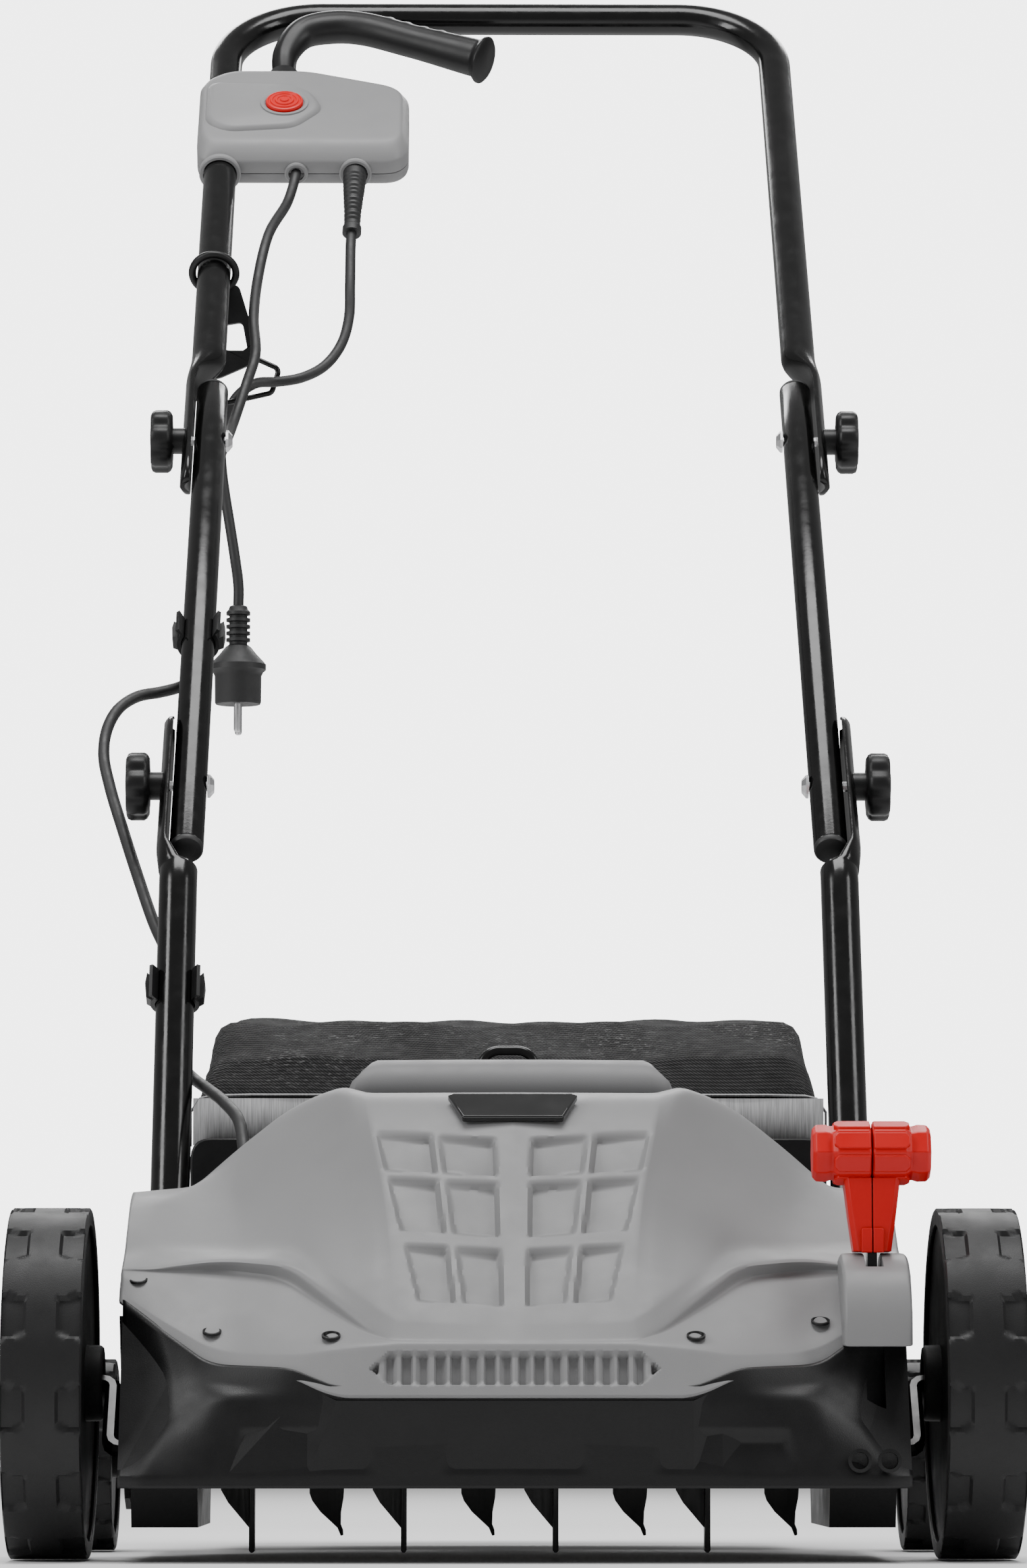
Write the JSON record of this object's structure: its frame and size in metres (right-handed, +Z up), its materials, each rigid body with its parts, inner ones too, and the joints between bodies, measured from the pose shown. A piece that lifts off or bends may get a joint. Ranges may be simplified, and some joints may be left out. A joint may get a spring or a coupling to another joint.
{
  "type": "lawn dethatcher",
  "caption": "Walk-behind electric lawn dethatcher: wheeled plastic deck with belt-driven knife rotor, folding tubular handle with switch box, and rear catch bag.",
  "frame": {"origin": "on the ground, midway between the furthest front and the furthest back, on the machine's middle plane", "axes": "+Z up, the front faces -Y and the operator stands at +Y, +X to the right of someone facing the front"},
  "size_m": [0.532, 1.1141, 1.0681],
  "materials": {
    "cover_grey": "fine satin moulding, mid grey",
    "housing_black": "fine satin moulding, black",
    "flap_grey": "satin moulding, darker grey",
    "wheel_black": "matte moulding, black",
    "fitting_black": "satin moulding, black",
    "red_plastic": "smooth signal red",
    "badge_black": "high gloss black",
    "tube_black": "gloss black powder coat",
    "knife_steel": "dark phosphated steel",
    "bright_steel": "zinc plated",
    "cable_rubber": "dull black rubber",
    "belt_rubber": "dull black rubber",
    "bag_mesh": "black woven mesh with a light grey woven band at the mouth"
  },
  "bodies": {
    "deck": {"deck_housing": "housing_black", "motor_cover": "cover_grey", "name_badge": "badge_black", "belt_cover": "housing_black", "motor": "bright_steel", "drive_belt": "belt_rubber", "rotor_bearing_left": "bright_steel", "rotor_bearing_right": "bright_steel", "rear_axle": "tube_black", "lower_tube_left": "tube_black", "lower_tube_right": "tube_black", "cable_clip_low": "fitting_black", "motor_cable_lower": "cable_rubber"},
    "rotor": {"rotor_shaft": "knife_steel", "rotor_pulley": "bright_steel", "knife_1": "knife_steel", "knife_2": "knife_steel", "knife_3": "knife_steel", "knife_4": "knife_steel", "knife_5": "knife_steel", "knife_6": "knife_steel", "knife_7": "knife_steel", "knife_8": "knife_steel"},
    "motor_drive": {"motor_pulley": "bright_steel"},
    "front_axle": {"front_axle": "tube_black", "height_lever_left": "red_plastic", "height_lever_right": "red_plastic"},
    "front_wheel_left": {"front_wheel_left": "wheel_black"},
    "front_wheel_right": {"front_wheel_right": "wheel_black"},
    "rear_wheel_left": {"rear_wheel_left": "wheel_black"},
    "rear_wheel_right": {"rear_wheel_right": "wheel_black"},
    "mid_handle": {"mid_tube_left": "tube_black", "mid_tube_right": "tube_black", "end_cap_upper_left": "fitting_black", "end_cap_upper_right": "fitting_black", "end_cap_lower_left": "fitting_black", "end_cap_lower_right": "fitting_black", "bolt_upper_left": "bright_steel", "bolt_upper_right": "bright_steel", "bolt_lower_left": "bright_steel", "bolt_lower_right": "bright_steel", "cable_clip_mid": "fitting_black", "motor_cable_upper": "cable_rubber"},
    "upper_handle": {"upper_handle": "tube_black", "switch_box_top": "cover_grey", "switch_box_base": "cover_grey", "cord_hook": "fitting_black", "cord_boot": "cable_rubber", "supply_cord": "cable_rubber", "plug": "cable_rubber"},
    "knob_upper_left": {"knob_upper_left": "fitting_black"},
    "knob_upper_right": {"knob_upper_right": "fitting_black"},
    "knob_lower_left": {"knob_lower_left": "fitting_black"},
    "knob_lower_right": {"knob_lower_right": "fitting_black"},
    "bail_lever": {"bail_lever": "fitting_black"},
    "safety_button": {"safety_button": "red_plastic"},
    "rear_flap": {"rear_flap": "flap_grey"},
    "catch_bag": {"bag_frame": "housing_black", "bag_fabric": "bag_mesh"}
  },
  "joints": [
    {"name": "rotor_spin", "type": "hinge", "parent": "deck", "child": "rotor", "pos_m": [0, -0.382, 0.064], "axis": [1, 0, 0], "continuous": true},
    {"name": "motor_spin", "type": "hinge", "parent": "deck", "child": "motor_drive", "pos_m": [0, -0.452, 0.148], "axis": [1, 0, 0], "continuous": true},
    {"name": "height_adjust", "type": "hinge", "parent": "deck", "child": "front_axle", "pos_m": [0, -0.492, 0.058], "axis": [1, 0, 0], "range_deg": [-22, 5]},
    {"name": "front_left_roll", "type": "hinge", "parent": "front_axle", "child": "front_wheel_left", "pos_m": [-0.245, -0.457, 0.0927], "axis": [1, 0, 0], "continuous": true},
    {"name": "front_right_roll", "type": "hinge", "parent": "front_axle", "child": "front_wheel_right", "pos_m": [0.245, -0.457, 0.0927], "axis": [1, 0, 0], "continuous": true},
    {"name": "rear_left_roll", "type": "hinge", "parent": "deck", "child": "rear_wheel_left", "pos_m": [-0.241, -0.195, 0.05432], "axis": [1, 0, 0], "continuous": true},
    {"name": "rear_right_roll", "type": "hinge", "parent": "deck", "child": "rear_wheel_right", "pos_m": [0.241, -0.195, 0.05432], "axis": [1, 0, 0], "continuous": true},
    {"name": "mid_fold", "type": "hinge", "parent": "deck", "child": "mid_handle", "pos_m": [0, -0.12692, 0.44466], "axis": [1, 0, 0], "range_deg": [0, 110], "deforming": ["motor_cable_lower", "motor_cable_upper"]},
    {"name": "upper_fold", "type": "hinge", "parent": "mid_handle", "child": "upper_handle", "pos_m": [0, 0.146, 0.693], "axis": [1, 0, 0], "range_deg": [-130, 0], "deforming": ["motor_cable_upper", "supply_cord", "plug"]},
    {"name": "knob_upper_left_turn", "type": "hinge", "parent": "mid_handle", "child": "knob_upper_left", "pos_m": [-0.212, 0.146, 0.693], "axis": [1, 0, 0], "continuous": true},
    {"name": "knob_upper_right_turn", "type": "hinge", "parent": "mid_handle", "child": "knob_upper_right", "pos_m": [0.212, 0.146, 0.693], "axis": [1, 0, 0], "continuous": true},
    {"name": "knob_lower_left_turn", "type": "hinge", "parent": "mid_handle", "child": "knob_lower_left", "pos_m": [-0.212, -0.12692, 0.44466], "axis": [1, 0, 0], "continuous": true},
    {"name": "knob_lower_right_turn", "type": "hinge", "parent": "mid_handle", "child": "knob_lower_right", "pos_m": [0.212, -0.12692, 0.44466], "axis": [1, 0, 0], "continuous": true},
    {"name": "bail_squeeze", "type": "hinge", "parent": "upper_handle", "child": "bail_lever", "pos_m": [-0.15, 0.4522, 0.97163], "axis": [0, -0.673, 0.7396], "range_deg": [0, 12], "stiffness_Nm_per_rad": 3, "springref_deg": -8.59},
    {"name": "safety_press", "type": "slide", "parent": "upper_handle", "child": "safety_button", "axis": [0, 0.673, -0.7396], "range_m": [0, 0.004], "stiffness_N_per_m": 400, "springref_m": -0.004},
    {"name": "flap_lift", "type": "hinge", "parent": "deck", "child": "rear_flap", "pos_m": [0, -0.292, 0.2635], "axis": [1, 0, 0], "range_deg": [0, 75], "stiffness_Nm_per_rad": 0.15, "springref_deg": -28.65},
    {"name": "bag_remove", "type": "slide", "parent": "deck", "child": "catch_bag", "axis": [0, 1, 0], "range_m": [0, 0.3]}
  ],
  "couplings": [
    {"joint": "motor_spin", "follows": "rotor_spin", "ratio": 2.3636}
  ]
}
